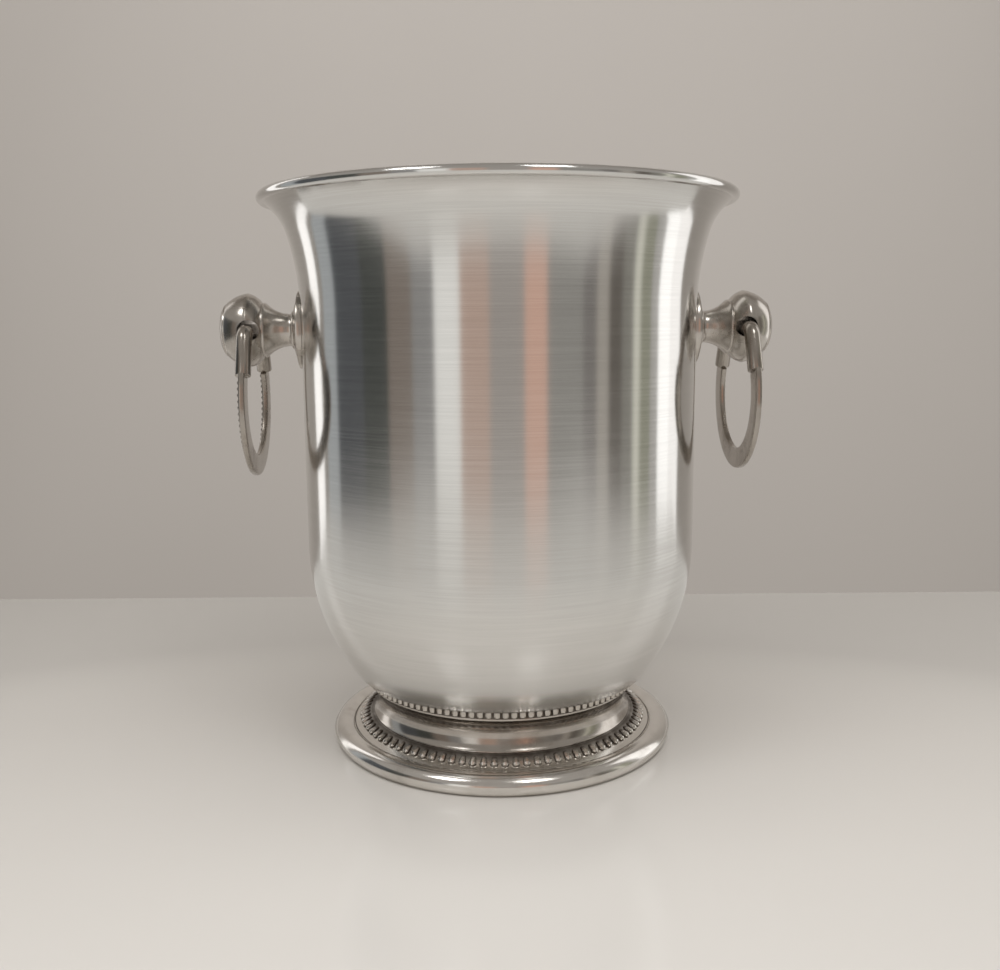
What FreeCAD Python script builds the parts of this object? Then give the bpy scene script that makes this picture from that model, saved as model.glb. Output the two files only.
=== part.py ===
import FreeCAD, Part
import math
import os

import Sketcher

# Table-top champagne bucket: a drawn bowl on a pedestal foot, with a swinging ring handle on each side.
# +Z is up, the origin is at the middle of the foot's underside, and the handles lie along +X and -X.
# Lengths are in millimetres.

SIZES = {
    # bowl
    "bucket_height": 234.5,
    "body_radius": 83.8,
    "rim_spread": 16.2,
    "rim_bead_radius": 2.0,
    "wall": 1.2,
    "flare_height": 32.0,
    "flare_arc": 110.0,
    "lip_depth": 15.5,
    "belly_rise": 58.0,
    "floor_height": 30.0,
    "floor_bend": 3.0,
    "floor_margin": 3.5,
    # foot: upper bead ring
    "upper_ring_height": 4.0,
    "upper_ring_overhang": 0.4,
    "upper_ring_land": 10.4,
    "upper_bead_pitch": 3.39,
    "upper_bead_radius": 1.5,
    # foot: collar
    "collar_lip_radius": 59.0,
    "collar_lip_width": 0.7,
    "collar_lip_depth": 1.0,
    "collar_land": 13.0,
    "collar_toe_inset": 2.0,
    "collar_toe_spread": 0.56,
    "collar_toe_height": 0.7,
    "collar_shoulder": 4.2,
    "collar_cove_depth": 2.93,
    "collar_wall": 1.4,
    # foot: lower bead ring
    "lower_ring_seat": 5.2,
    "lower_ring_height": 5.6,
    "lower_ring_edge": 1.6,
    "lower_ring_spread": 9.0,
    "lower_ring_land": 5.0,
    "lower_bead_pitch": 4.6,
    "lower_bead_radius": 1.75,
    "lower_bead_tip": 1.1,
    "lower_bead_length": 5.0,
    # foot: base ring
    "base_nose_spread": 9.4,
    "base_nose_tuck": 1.8,
    "base_nose_height": 4.4,
    "base_nose_arc": 7.0,
    "base_shoulder_arc": 5.9,
    "base_crest_spread": 3.6,
    "base_crest_rise": 3.0,
    "base_crest_arc": 4.4,
    "base_land": 9.0,
    "base_web": 1.8,
    # fixing of the foot
    "stud_radius": 3.0,
    "stud_flange_radius": 7.0,
    "stud_flange": 1.2,
    "stud_past_nut": 1.9,
    "clamp_land": 5.0,
    "clamp_flat": 8.0,
    "clamp_sheet": 1.6,
    "clamp_boss_radius": 16.0,
    "clamp_rise": 8.0,
    "washer_width": 2.8,
    "washer_sheet": 1.4,
    "nut_flats": 10.0,
    "nut_height": 5.0,
    # handle posts and their wall plates
    "handle_drop": 55.0,
    "plate_radius": 16.5,
    "plate_depth": 2.6,
    "plate_edge": 1.1,
    "plate_step_radius": 11.0,
    "plate_dome_arc": 24.8,
    "post_ridge": 1.6,
    "post_ridge_root": 7.6,
    "post_ridge_rise": 0.56,
    "post_neck": 6.8,
    "neck_length": 3.2,
    "trumpet_length": 9.0,
    "trumpet_radius": 11.2,
    "trumpet_arc": 14.0,
    "seam_ridge": 1.6,
    "seam_ridge_rise": 0.35,
    "knob_radius": 15.5,
    "knob_swell": 5.8,
    "knob_shoulder_arc": 9.6,
    "knob_dome": 9.0,
    "button_radius": 10.8,
    "button_step": 0.5,
    "button_length": 2.2,
    "button_edge": 1.5,
    "button_face_inset": 3.0,
    # ring handles
    "bar_radius": 3.25,
    "bar_bend": 5.5,
    "pivot_play": 1.05,
    "pivot_set_back": 1.4,
    "bar_drop": 0.6,
    "bar_outward": 0.45,
    "ring_spread": 13.0,
    "ring_width": 8.8,
    "ring_thickness": 2.5,
    "ring_edge": 0.7,
    "ring_joint_angle": 22.8,
    "ring_bead_radius": 1.2,
    "ring_bead_pitch": 2.54,
    "ring_bead_margin": 2.0,
    # handle fixing through the wall
    "screw_radius": 2.5,
    "screw_short": 1.6,
    "screw_head_radius": 5.0,
    "screw_head": 2.6,
    "washer_disc_radius": 8.0,
    "washer_disc": 1.5,
    "seal_disc_radius": 7.4,
    "seal_disc": 1.0,
    # clearances
    "seat_gap": 0.05,
    "hole_clearance": 0.25,
    "thread_clearance": 0.04,
}

FULL_TURN = 360.0
HALF_TURN = 180.0
LIP_OUTER_SHARE = 0.45
LIP_INNER_SHARE = 0.93
SHEET_NAME = "sizes"


class Size:
    """A number together with the sheet formula that gives it, so that it is written only once."""

    def __init__(self, value, formula):
        self.value = value
        self.formula = formula

    def __add__(self, other):
        return Size(self.value + number(other), "(%s + %s)" % (self.formula, formula(other)))

    def __sub__(self, other):
        return Size(self.value - number(other), "(%s - %s)" % (self.formula, formula(other)))

    def __mul__(self, other):
        return Size(self.value * number(other), "(%s * %s)" % (self.formula, formula(other)))

    def __truediv__(self, other):
        return Size(self.value / number(other), "(%s / %s)" % (self.formula, formula(other)))

    def __neg__(self):
        return Size(-self.value, "(0 - %s)" % self.formula)


def number(thing):
    return thing.value if isinstance(thing, Size) else float(thing)


def formula(thing):
    return thing.formula if isinstance(thing, Size) else repr(float(thing))


def root(thing):
    return Size(math.sqrt(thing.value), "sqrt(%s)" % thing.formula)


def leg(long_side, short_side):
    """The third side of a right-angled triangle."""
    return root(long_side * long_side - short_side * short_side)


def sine(angle):
    return Size(math.sin(math.radians(angle.value)), "sin(%s * 1 deg)" % angle.formula)


def cosine(angle):
    return Size(math.cos(math.radians(angle.value)), "cos(%s * 1 deg)" % angle.formula)


def turn_for(length, radius):
    """The angle, in degrees, that a length takes up round a circle."""
    return (length / radius) * Size(HALF_TURN / math.pi, "(180 / pi)")


def round_count(length, pitch):
    """The nearest whole number of pitches in a length."""
    return Size(round(length.value / pitch.value), "round(%s)" % (length / pitch).formula)


def whole_count(length, pitch):
    """The whole number of pitches that fit in a length."""
    return Size(math.floor(length.value / pitch.value), "floor(%s)" % (length / pitch).formula)


def girth(radius):
    return radius * 2.0 * Size(math.pi, "pi")


def size(name):
    return Size(float(SIZES[name]), "%s.%s" % (SHEET_NAME, name))


def make_sheet(doc):
    sheet = doc.addObject("Spreadsheet::Sheet", SHEET_NAME)
    for row, (name, value) in enumerate(SIZES.items(), start=1):
        sheet.set("A%d" % row, name)
        sheet.set("B%d" % row, str(value))
        sheet.setAlias("B%d" % row, name)
    doc.recompute()


# Places that more than one piece fits to.

def flare_end():
    return size("bucket_height") - size("lip_depth")


def flare_start():
    return flare_end() - size("flare_height")


def handle_height():
    return size("bucket_height") - size("handle_drop")


def floor_radius():
    """Where the bowl's flat floor ends, a margin outside the foot's upper lip."""
    return size("collar_lip_radius") + size("floor_margin")


def collar_foot():
    return size("collar_lip_radius") - size("collar_toe_inset")


def collar_seat():
    """The height at which the collar stands on the lower bead ring."""
    return size("lower_ring_seat") + size("lower_ring_height")


def lower_ring_radius():
    return collar_foot() + size("lower_ring_spread")


def base_bore():
    return lower_ring_radius() - size("base_land")


def clamp_radius():
    return base_bore() + size("clamp_land")


def boss_underside():
    """The height at which the washer meets the clamp plate."""
    return size("lower_ring_seat") - size("base_web") - size("clamp_sheet") + size("clamp_rise")


def nut_underside():
    return boss_underside() - size("washer_sheet") - size("nut_height")


def plate_front():
    return size("body_radius") + size("plate_depth")


def neck_end():
    return plate_front() + size("neck_length")


def trumpet_end():
    return neck_end() + size("trumpet_length")


def knob_start():
    return trumpet_end() + size("seam_ridge")


def knob_middle():
    return knob_start() + size("knob_swell")


def pivot_place():
    """The distance of the hole for the ring's bar from the bucket's axis."""
    return knob_middle() - size("pivot_set_back")


def screw_end():
    return trumpet_end() - size("screw_short")


def screw_hole():
    return size("screw_radius") + size("hole_clearance")


def ring_radius():
    return size("knob_radius") + size("ring_spread")


def seal_face():
    """The distance of the seal's outer face from the bucket's axis."""
    return size("body_radius") - size("wall") - size("seat_gap")


def washer_face():
    """The distance of the metal washer's outer face from the bucket's axis."""
    return seal_face() - size("seal_disc") - size("seat_gap")


def bulge(begin, finish, rise):
    """The radius of an arc that stands a rise out from the straight line between its ends."""
    across = finish[0] - begin[0]
    up = finish[1] - begin[1]
    return (across * across + up * up) / (rise * 8.0) + rise * 0.5


class Outline:
    """A closed outline of straight and round stretches, with every corner tied to the sheet."""

    def __init__(self, across, up):
        self.corners = [(across, up)]
        self.bends = []

    def line(self, across, up):
        self.corners.append((across, up))
        self.bends.append(None)
        return self

    def arc(self, across, up, radius, turn):
        """A round stretch to the next corner; turn is "left" or "right" of the way it runs."""
        self.corners.append((across, up))
        self.bends.append((radius, turn))
        return self

    def close_with_arc(self, radius, turn):
        """A round stretch back to the first corner."""
        self.bends.append((radius, turn))
        return self

    def draw(self, sketch, closed=True):
        corners = self.corners + [self.corners[0]] if closed else self.corners
        bends = self.bends
        if closed and len(bends) < len(self.corners):
            bends = bends + [None]
        ends = []
        for bend, start, finish in zip(bends, corners, corners[1:]):
            ends.append(draw_stretch(sketch, start, finish, bend))
        for before, after in zip(ends, ends[1:]):
            join(sketch, before[2], after[1])
        if closed:
            join(sketch, ends[-1][2], ends[0][1])
        for stretch, corner in zip(ends, corners):
            fix_point(sketch, stretch[1], corner)
        if not closed:
            fix_point(sketch, ends[-1][2], corners[-1])
        for stretch, bend in zip(ends, bends):
            if bend is not None:
                fix_radius(sketch, stretch[0], bend[0])


def draw_stretch(sketch, start, finish, bend):
    """Adds a line or an arc; returns its index, and its first and last ends as (index, point number)."""
    first = FreeCAD.Vector(number(start[0]), number(start[1]), 0)
    last = FreeCAD.Vector(number(finish[0]), number(finish[1]), 0)
    if bend is None:
        index = sketch.addGeometry(Part.LineSegment(first, last), False)
        return index, (index, 1), (index, 2)
    radius = number(bend[0])
    half = (last - first) * 0.5
    side = FreeCAD.Vector(-half.y, half.x, 0).normalize()
    offset = math.sqrt(max(radius ** 2 - half.Length ** 2, 0.0))
    leftward = bend[1] == "left"
    centre = first + half + side * (offset if leftward else -offset)
    begin, end = (first, last) if leftward else (last, first)
    angles = [math.atan2(point.y - centre.y, point.x - centre.x) for point in (begin, end)]
    if angles[1] < angles[0]:
        angles[1] += 2.0 * math.pi
    circle = Part.Circle(centre, FreeCAD.Vector(0, 0, 1), radius)
    index = sketch.addGeometry(Part.ArcOfCircle(circle, angles[0], angles[1]), False)
    if leftward:
        return index, (index, 1), (index, 2)
    return index, (index, 2), (index, 1)


def join(sketch, one, other):
    sketch.addConstraint(Sketcher.Constraint("Coincident", one[0], one[1], other[0], other[1]))


def fix_point(sketch, point, place):
    """Ties a point's two distances from the sketch's origin to the sheet."""
    for kind, distance, axis in (("DistanceX", place[0], -2), ("DistanceY", place[1], -1)):
        if not isinstance(distance, Size):
            sketch.addConstraint(Sketcher.Constraint("PointOnObject", point[0], point[1], axis))
            continue
        rule = Sketcher.Constraint(kind, -1, 1, point[0], point[1], distance.value)
        index = sketch.addConstraint(rule)
        sketch.setExpression("Constraints[%d]" % index, distance.formula)


def fix_radius(sketch, index, radius):
    rule = sketch.addConstraint(Sketcher.Constraint("Radius", index, number(radius)))
    sketch.setExpression("Constraints[%d]" % rule, radius.formula)


def new_body(doc, label):
    body = doc.addObject("PartDesign::Body", label)
    body.Label = label
    return body


def plane(body, role):
    for feature in body.Origin.OriginFeatures:
        if feature.Role == role:
            return feature
    raise ValueError("no plane called " + role)


def new_sketch(body, name, role):
    sketch = body.newObject("Sketcher::SketchObject", name)
    sketch.AttachmentSupport = [(plane(body, role), "")]
    sketch.MapMode = "FlatFace"
    return sketch


def circle_sketch(body, name, role, centre, radius):
    sketch = new_sketch(body, name, role)
    middle = FreeCAD.Vector(number(centre[0]), number(centre[1]), 0)
    circle = Part.Circle(middle, FreeCAD.Vector(0, 0, 1), radius.value)
    index = sketch.addGeometry(circle, False)
    fix_radius(sketch, index, radius)
    if isinstance(centre[0], Size) or isinstance(centre[1], Size):
        fix_point(sketch, (index, 3), centre)
    else:
        join(sketch, (index, 3), (-1, 1))
    return sketch


def spin(body, sketch, axis, angle=None):
    """Turns a sketch about one of its own axes: "V_Axis" or "H_Axis", all round or about its middle."""
    feature = body.newObject("PartDesign::Revolution", "Turned_" + sketch.Name)
    feature.Profile = sketch
    feature.ReferenceAxis = (sketch, [axis])
    feature.Angle = FULL_TURN
    if angle is not None:
        feature.Midplane = True
        feature.setExpression("Angle", angle.formula)
    return feature


def groove(body, sketch, axis):
    feature = body.newObject("PartDesign::Groove", "Groove_" + sketch.Name)
    feature.Profile = sketch
    feature.ReferenceAxis = (sketch, [axis])
    feature.Angle = FULL_TURN
    return feature


def drill(body, sketch):
    """A hole that runs all the way through, both ways from the sketch's plane."""
    feature = body.newObject("PartDesign::Pocket", "Hole_" + sketch.Name)
    feature.Profile = sketch
    feature.Type = "ThroughAll"
    feature.Midplane = True
    return feature


def repeat_round(body, feature, axis, count, span=None):
    """Repeats a feature about one of its sketch's axes, over a full turn or a stated span."""
    pattern = body.newObject("PartDesign::PolarPattern", "Row_" + feature.Name)
    pattern.Originals = [feature]
    pattern.Axis = (feature.Profile[0], [axis])
    pattern.Angle = FULL_TURN
    if span is not None:
        pattern.setExpression("Angle", span.formula)
    pattern.setExpression("Occurrences", count.formula)
    body.Tip = pattern
    return pattern


def make_bowl(doc):
    """Drawn sheet bowl: flat floor, round belly, straight wall, flare and a solid rolled rim."""
    body = new_body(doc, "bowl")
    wall = size("wall")
    floor = size("floor_height")
    bend = size("floor_bend")
    body_radius = size("body_radius")
    belly_height = floor + size("belly_rise")
    bend_centre = floor_radius()
    bend_drop = size("belly_rise") - bend
    bulk = body_radius - bend_centre
    belly = (bulk * bulk + bend_drop * bend_drop - bend * bend) / ((bulk - bend) * 2.0)
    belly_centre = body_radius - belly
    bend_reach = bend_centre - belly_centre

    def belly_point(radius):
        share = radius / (belly - bend)
        return belly_centre + bend_reach * share, belly_height - bend_drop * share

    start = flare_start()
    flare = size("flare_arc")
    slope_sine = size("flare_height") / flare
    slope_cosine = leg(Size(1.0, "1"), slope_sine)
    flare_centre = body_radius + flare
    bead = size("rim_bead_radius")
    rim = body_radius + size("rim_spread")
    bead_across = rim - bead
    bead_up = size("bucket_height") - bead

    def flare_point(radius):
        return flare_centre - radius * slope_cosine, start + radius * slope_sine

    def bead_point(share):
        """A point low on the rim bead's inner side, a share of its radius inside its middle."""
        return bead_across - bead * share, bead_up - bead * math.sqrt(1.0 - share ** 2)

    def lip_arc(begin, finish):
        """The radius of the arc that leaves the flare smoothly at one point and ends at the other."""
        across = finish[0] - begin[0]
        up = finish[1] - begin[1]
        return (across * across + up * up) / ((across * slope_cosine - up * slope_sine) * 2.0)

    outside = Outline(0, floor).line(bend_centre, floor)
    outside.arc(*belly_point(belly), bend, "left")
    outside.arc(body_radius, belly_height, belly, "left")
    outside.line(body_radius, start)
    outer = (flare_point(flare), bead_point(LIP_OUTER_SHARE))
    inner = (flare_point(flare + wall), bead_point(LIP_INNER_SHARE))
    outside.arc(*outer[0], flare, "right")
    outside.arc(*outer[1], lip_arc(*outer), "right")
    outside.arc(rim, bead_up, bead, "left")
    outside.arc(bead_across, size("bucket_height"), bead, "left")
    outside.arc(*inner[1], bead, "left")
    outside.arc(*inner[0], lip_arc(*inner), "left")
    outside.arc(body_radius - wall, start, flare + wall, "left")
    outside.line(body_radius - wall, belly_height)
    outside.arc(*belly_point(belly - wall), belly - wall, "right")
    outside.arc(bend_centre, floor + wall, bend - wall, "right")
    outside.line(0, floor + wall)
    sketch = new_sketch(body, "BowlWall", "XZ_Plane")
    outside.draw(sketch)
    spin(body, sketch, "V_Axis")
    drill(body, circle_sketch(body, "ScrewHoles", "YZ_Plane", (0, handle_height()), screw_hole()))


def turned(doc, label, outline, axis="V_Axis"):
    """A piece turned all round from one outline."""
    body = new_body(doc, label)
    sketch = new_sketch(body, "Section_" + label, "XZ_Plane")
    outline.draw(sketch)
    spin(body, sketch, axis)
    return body


def make_base_stud(doc):
    """Flanged stud welded to the middle of the bowl's underside, long enough to pass the nut."""
    top = size("floor_height")
    under = top - size("stud_flange")
    tail = nut_underside() - size("stud_past_nut")
    shank = size("stud_radius")
    flange = size("stud_flange_radius")
    outline = Outline(0, tail).line(shank, tail).line(shank, under)
    outline.line(flange, under).line(flange, top).line(0, top)
    turned(doc, "base_stud", outline)


def make_upper_bead_ring(doc):
    """Flat ring under the bowl's floor with a row of upright beads round its edge."""
    top = size("floor_height")
    under = top - size("upper_ring_height")
    radius = size("collar_lip_radius") + size("upper_ring_overhang")
    bore = radius - size("upper_ring_land")
    outline = Outline(bore, under).line(radius, under).line(radius, top).line(bore, top)
    body = turned(doc, "upper_bead_ring", outline)
    bead = size("upper_bead_radius")
    low = under + bead + size("seat_gap")
    high = top - bead - size("seat_gap")
    shape = Outline(radius, low - bead).line(radius, high + bead)
    shape.arc(radius + bead, high, bead, "right").line(radius + bead, low).close_with_arc(bead, "right")
    bead_row(body, "UpperBead", shape, "V_Axis", round_count(girth(radius), size("upper_bead_pitch")))


def make_foot_collar(doc):
    """Pressed cove between the two bead rings: lip, hollow waist and spread foot, with a flat top inside."""
    top = size("floor_height") - size("upper_ring_height")
    seat = collar_seat()
    wall = size("collar_wall")
    lip = size("collar_lip_radius")
    foot = collar_foot()
    bore = lip - size("collar_land")
    shoulder = top - wall
    toe = (foot + size("collar_toe_spread"), seat + size("collar_toe_height"))
    neck = (lip - size("collar_lip_width"), shoulder)
    cove = bulge(toe, neck, size("collar_cove_depth"))
    outline = Outline(bore, shoulder).line(foot - size("collar_shoulder"), shoulder)
    outline.arc(foot - wall, seat, cove + wall, "left")
    outline.line(toe[0], seat).line(*toe).arc(*neck, cove, "right")
    outline.line(lip, top - size("collar_lip_depth")).line(lip, top).line(bore, top)
    turned(doc, "foot_collar", outline)


def make_lower_bead_ring(doc):
    """Sloping ring round the collar's foot, with a row of long beads that widen towards its edge."""
    bore = collar_foot() - size("lower_ring_land")
    seat = size("lower_ring_seat")
    land = collar_seat()
    edge = seat + size("lower_ring_edge")
    inner = collar_foot() + size("collar_wall")
    outer = lower_ring_radius()
    outline = Outline(bore, seat).line(outer, seat).line(outer, edge).line(inner, land).line(bore, land)
    body = turned(doc, "lower_bead_ring", outline)
    slope = root((outer - inner) * (outer - inner) + (land - edge) * (land - edge))
    out = (outer - inner) / slope
    down = (land - edge) / slope

    def along(distance, height):
        return inner + out * distance + down * height, land - down * distance + out * height

    length = size("lower_bead_length")
    tip = size("lower_bead_tip")
    bead = size("lower_bead_radius")
    none = Size(0.0, "0")
    shape = Outline(*along(tip, none)).line(*along(tip + length, none))
    shape.arc(*along(tip + length - bead, bead), bead, "left").line(*along(tip * 2.0, tip))
    shape.close_with_arc(tip, "left")
    bead_row(body, "LowerBead", shape, "V_Axis", round_count(girth(outer), size("lower_bead_pitch")))


def bead_row(body, name, shape, axis, count):
    """One bead, turned about its outline's first side, and repeated round the piece."""
    sketch = new_sketch(body, name, "XZ_Plane")
    shape.draw(sketch)
    bead = spin(body, sketch, "Edge1")
    repeat_round(body, bead, axis, count)


def make_foot_flange(doc):
    """Heavy polished base ring: rounded nose, seat for the bead ring and a web for the clamp plate."""
    bore = base_bore()
    seat = size("lower_ring_seat")
    web = seat - size("base_web")
    pocket = clamp_radius() + size("hole_clearance")
    ring = lower_ring_radius() + size("hole_clearance")
    nose = lower_ring_radius() + size("base_nose_spread")
    crest = lower_ring_radius() + size("base_crest_spread")
    outline = Outline(pocket, 0).line(nose - size("base_nose_tuck"), 0)
    outline.arc(nose, size("base_nose_height"), size("base_nose_arc"), "left")
    outline.arc(crest, seat + size("base_crest_rise"), size("base_shoulder_arc"), "left")
    outline.arc(ring, seat + size("lower_ring_edge"), size("base_crest_arc"), "left")
    outline.line(ring, seat).line(bore, seat).line(bore, web).line(pocket, web)
    turned(doc, "foot_flange", outline)


def make_clamp_plate(doc):
    """Dished plate that the nut pulls up against the base ring's web."""
    sheet = size("clamp_sheet")
    top = size("lower_ring_seat") - size("base_web")
    under = top - sheet
    radius = clamp_radius()
    cone = radius - size("clamp_flat")
    boss = size("clamp_boss_radius")
    rise = size("clamp_rise")
    hole = size("stud_radius") + size("hole_clearance")
    outline = Outline(radius, under).line(radius, top).line(cone, top).line(boss, top + rise)
    outline.line(hole, top + rise).line(hole, under + rise).line(boss, under + rise).line(cone, under)
    turned(doc, "foot_clamp_plate", outline)


def make_washer_and_nut(doc):
    """Spring washer and hexagon nut on the stud."""
    hole = size("stud_radius") + size("hole_clearance")
    top = boss_underside()
    under = top - size("washer_sheet")
    radius = size("stud_radius") + size("washer_width")
    outline = Outline(hole, under).line(radius, under).line(radius, top).line(hole, top)
    turned(doc, "foot_spring_washer", outline)
    body = new_body(doc, "foot_nut")
    sketch = new_sketch(body, "NutHexagon", "XY_Plane")
    flats = size("nut_flats")
    corner = flats / root(Size(3.0, "3"))
    half = flats * 0.5
    shape = Outline(corner, 0).line(corner * 0.5, half).line(corner * -0.5, half).line(-corner, 0)
    shape.line(corner * -0.5, -half).line(corner * 0.5, -half)
    shape.draw(sketch)
    pad = body.newObject("PartDesign::Pad", "NutBlock")
    pad.Profile = sketch
    pad.setExpression("Length", size("nut_height").formula)
    bore = size("stud_radius") + size("thread_clearance")
    drill(body, circle_sketch(body, "NutBore", "XY_Plane", (0, 0), bore))
    place(body, 0.0, nut_underside())


def place(body, turn, height, across=None):
    """Stands a piece at its height, turned about +Z, and ties its place to the sheet."""
    base = FreeCAD.Vector(number(across) if across is not None else 0.0, 0.0, height.value)
    body.Placement = FreeCAD.Placement(base, FreeCAD.Rotation(FreeCAD.Vector(0, 0, 1), turn))
    body.setExpression("Placement.Base.z", height.formula)
    if across is not None:
        body.setExpression("Placement.Base.x", across.formula)


# Each handle piece is drawn about the handle's own axis, X, which runs out from the bucket's axis,
# and is then lifted to the handle's height and turned to its side.

def wall_cut(body, name, clearance):
    """Cuts away what lies inside the bowl's outer face, so that a piece's back follows it."""
    start = flare_start() - handle_height()
    end = flare_end() - handle_height()
    flare = size("flare_arc") - clearance
    radius = size("body_radius") + clearance
    reach = leg(flare, end - start)
    low = size("plate_radius") * -2.0
    outline = Outline(0, low).line(radius, low).line(radius, start)
    outline.arc(radius + flare - reach, end, flare, "right").line(0, end)
    sketch = new_sketch(body, name, "XZ_Plane")
    outline.draw(sketch)
    groove(body, sketch, "V_Axis")


def make_wall_plate(doc, side, turn):
    """Round cover plate with a thin edge, shaped at its back to sit on the bowl."""
    radius = size("plate_radius")
    front = plate_front()
    edge = size("body_radius") + size("plate_edge")
    back = leg(size("body_radius"), radius) - size("wall")
    outline = Outline(back, screw_hole()).line(front, screw_hole()).line(front, size("plate_step_radius"))
    outline.arc(edge, radius, size("plate_dome_arc"), "right").line(back, radius)
    body = turned(doc, side + "_wall_plate", outline, "H_Axis")
    wall_cut(body, "BowlSide_" + side, size("seat_gap"))
    place(body, turn, handle_height())


def make_handle_post(doc, side, turn):
    """Turned post: ridge, neck, trumpet, seam ridge and domed knob with a button, bored for the ring."""
    front = plate_front()
    ridge = size("post_ridge")
    ridge_root = size("post_ridge_root")
    neck = size("post_neck")
    trumpet = size("trumpet_radius")
    knob = size("knob_radius")
    middle = knob_middle()
    knob_end = middle + size("knob_dome")
    button = size("button_radius")
    button_end = knob_end + size("button_length")
    bore = size("screw_radius") + size("thread_clearance")
    bore_end = screw_end() + size("hole_clearance")
    ridge_ends = ((front, ridge_root), (front + ridge, ridge_root))
    seam_ends = ((trumpet_end(), trumpet), (knob_start(), trumpet))
    outline = Outline(front, bore).line(*ridge_ends[0])
    outline.arc(*ridge_ends[1], bulge(*ridge_ends, size("post_ridge_rise")), "right")
    outline.line(front + ridge, neck).line(neck_end(), neck)
    outline.arc(*seam_ends[0], size("trumpet_arc"), "left")
    outline.arc(*seam_ends[1], bulge(*seam_ends, size("seam_ridge_rise")), "right")
    outline.arc(middle, knob, size("knob_shoulder_arc"), "right")
    outline.arc(knob_end, button + size("button_step"), knob, "right")
    outline.line(knob_end, button).line(button_end - size("button_edge"), button)
    outline.arc(button_end, button - size("button_face_inset"), button, "right").line(button_end, 0)
    outline.line(bore_end, 0).line(bore_end, bore)
    body = turned(doc, side + "_handle_post", outline, "H_Axis")
    hole = size("bar_radius") + size("pivot_play")
    drill(body, circle_sketch(body, "PivotHole_" + side, "XZ_Plane", (pivot_place(), 0), hole))
    place(body, turn, handle_height())


def make_bent_washer(doc, label, turn, radius, face, sheet):
    """Round washer inside the bowl, bent to the wall; face is its outer face's distance from the axis."""
    body = new_body(doc, label)
    blank = circle_sketch(body, "Blank_" + label, "YZ_Plane", (0, 0), radius)
    pad = body.newObject("PartDesign::Pad", "Block_" + label)
    pad.Profile = blank
    pad.setExpression("Length", size("body_radius").formula)
    inside = circle_sketch(body, "Inside_" + label, "XY_Plane", (0, 0), face - sheet)
    drill(body, inside)
    outside = circle_sketch(body, "Outside_" + label, "XY_Plane", (0, 0), face)
    far = outside.addGeometry(Part.Circle(FreeCAD.Vector(), FreeCAD.Vector(0, 0, 1), face.value * 2.0), False)
    join(outside, (far, 3), (-1, 1))
    fix_radius(outside, far, face * 2.0)
    drill(body, outside)
    drill(body, circle_sketch(body, "Hole_" + label, "YZ_Plane", (0, 0), screw_hole()))
    place(body, turn, handle_height())


def make_handle_screw(doc, side, turn):
    """Domed screw that goes in from inside the bowl and draws plate and post against the wall."""
    shank = size("screw_radius")
    head = size("screw_head_radius")
    seat = leg(washer_face() - size("washer_disc"), head) - size("seat_gap")
    rise = size("screw_head")
    dome = (head * head + rise * rise) / (rise * 2.0)
    outline = Outline(seat - rise, 0).arc(seat, head, dome, "right")
    outline.line(seat, shank).line(screw_end(), shank).line(screw_end(), 0)
    body = turned(doc, side + "_handle_screw", outline, "H_Axis")
    place(body, turn, handle_height())


# The ring's two pieces are drawn about the ring's own middle, in the plane across the handle.

def place_ring(body, turn):
    across = pivot_place() + size("bar_outward")
    height = handle_height() - size("bar_drop") - ring_radius()
    place(body, turn, height, across if turn == 0.0 else -across)


def make_pivot_bar(doc, side, turn):
    """Round bar through the knob, bent down at both sides to meet the ends of the beaded band."""
    body = new_body(doc, side + "_pivot_bar")
    ring = ring_radius()
    angle = size("ring_joint_angle")
    half_turn = (Size(1.0, "1") - sine(angle)) / cosine(angle)
    corner = ring * cosine(angle) - ring * sine(angle) * half_turn
    run = size("bar_bend") * half_turn
    path = Outline(0, ring).line(corner - run, ring)
    path.arc(corner + run * sine(angle), ring - run * cosine(angle), size("bar_bend"), "right")
    path.line(ring * cosine(angle), ring * sine(angle))
    spine = new_sketch(body, "BarPath_" + side, "YZ_Plane")
    path.draw(spine, closed=False)
    section = circle_sketch(body, "BarSection_" + side, "XZ_Plane", (0, ring), size("bar_radius"))
    doc.recompute()
    pipe = body.newObject("PartDesign::AdditivePipe", "HalfBar_" + side)
    pipe.Profile = section
    pipe.Spine = (spine, ["Edge1", "Edge2", "Edge3"])
    mirror = body.newObject("PartDesign::Mirrored", "OtherHalf_" + side)
    mirror.Originals = [pipe]
    mirror.MirrorPlane = (plane(body, "XZ_Plane"), [""])
    body.Tip = mirror
    place_ring(body, turn)


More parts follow.
